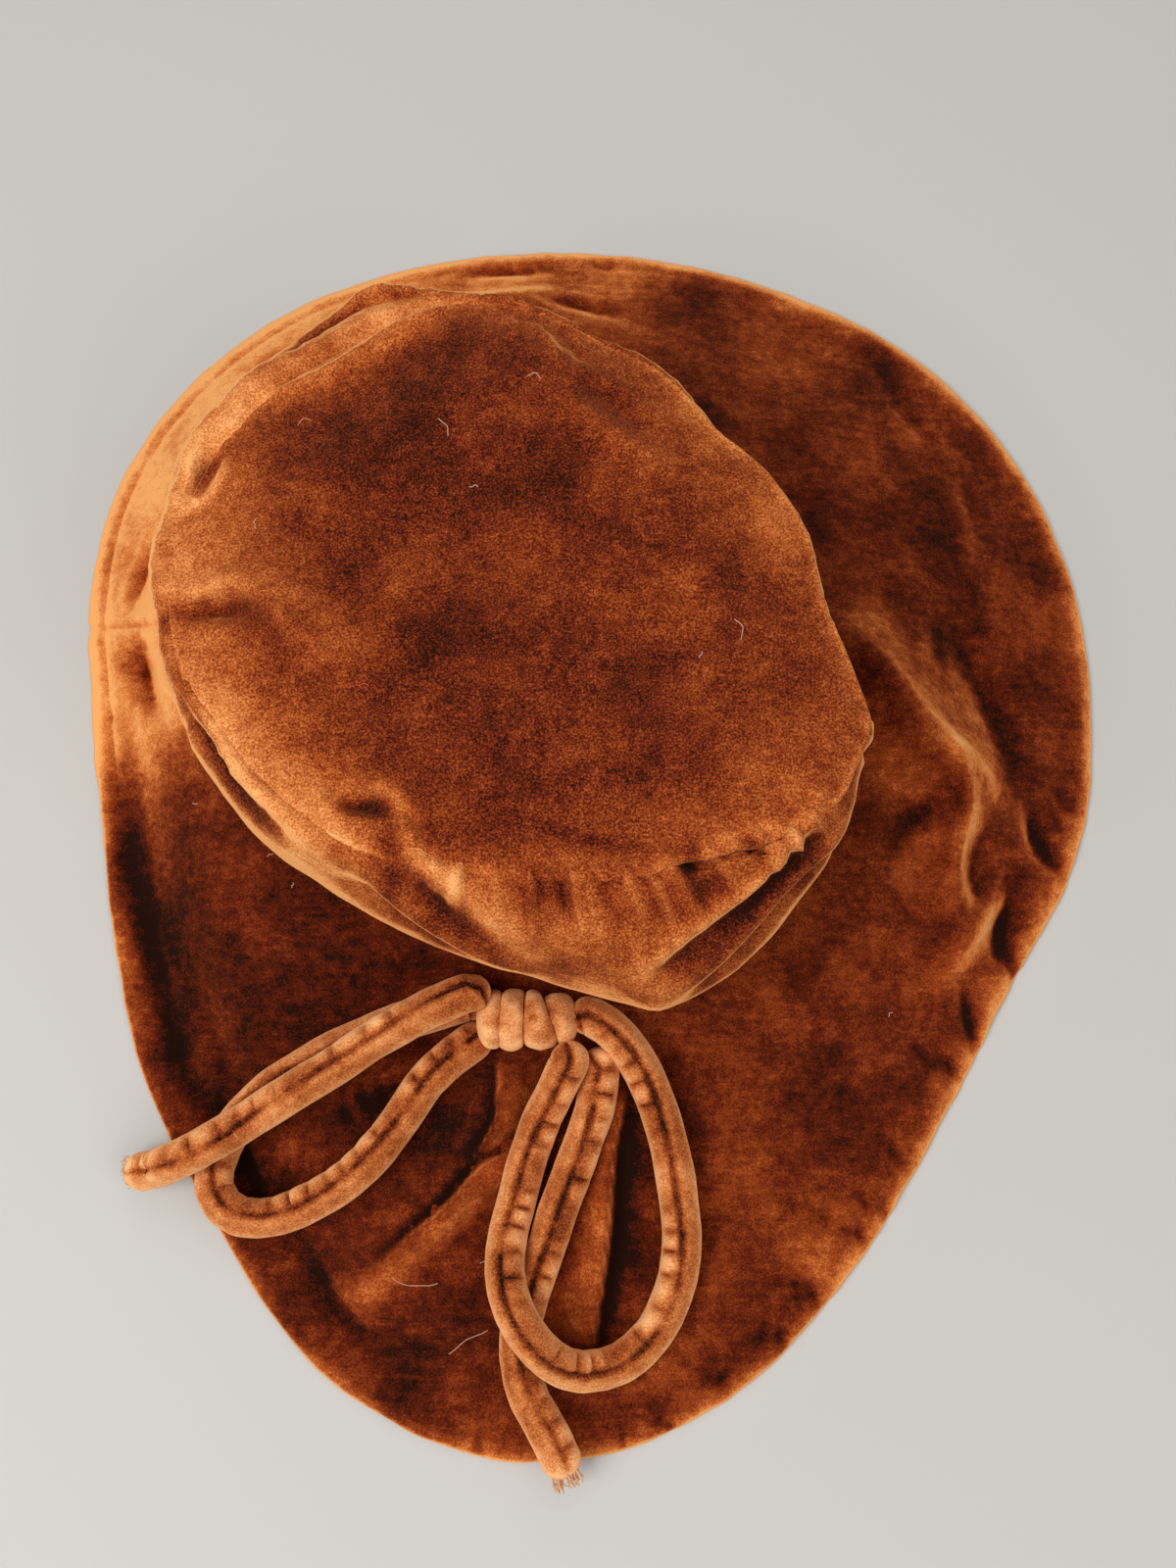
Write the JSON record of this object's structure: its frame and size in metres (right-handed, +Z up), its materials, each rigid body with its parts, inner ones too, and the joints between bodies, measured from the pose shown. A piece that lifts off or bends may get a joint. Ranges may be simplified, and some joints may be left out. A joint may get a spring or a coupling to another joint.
{
  "type": "asymmetric brim hat",
  "caption": "Soft velvet hat with a slumped round crown, a wide brim that is far deeper on one side, and a cord tied in a bow at the crown's foot.",
  "frame": {"origin": "middle of the brim's outline on the surface that the hat lies on, at the bottom of the hem", "axes": "+Z up through the crown, +Y towards the short side of the brim, -Y towards the deep side with the bow, +X towards the front, away from the closing seam"},
  "size_m": [0.3272, 0.399, 0.1038],
  "materials": {
    "brim_velvet": "rust brown crushed pile velvet, two layers with a stitched hem",
    "crown_velvet": "rust brown crushed pile velvet, one soft layer",
    "tie_velvet": "lighter rust velvet tube, puckered along its seam"
  },
  "bodies": {
    "root": {"brim": "brim_velvet", "crown_side": "crown_velvet", "crown_tip": "crown_velvet", "tie_knot": "tie_velvet", "tie_loop_left": "tie_velvet", "tie_loop_right": "tie_velvet", "tie_tail_left": "tie_velvet", "tie_tail_right": "tie_velvet"}
  },
  "joints": []
}
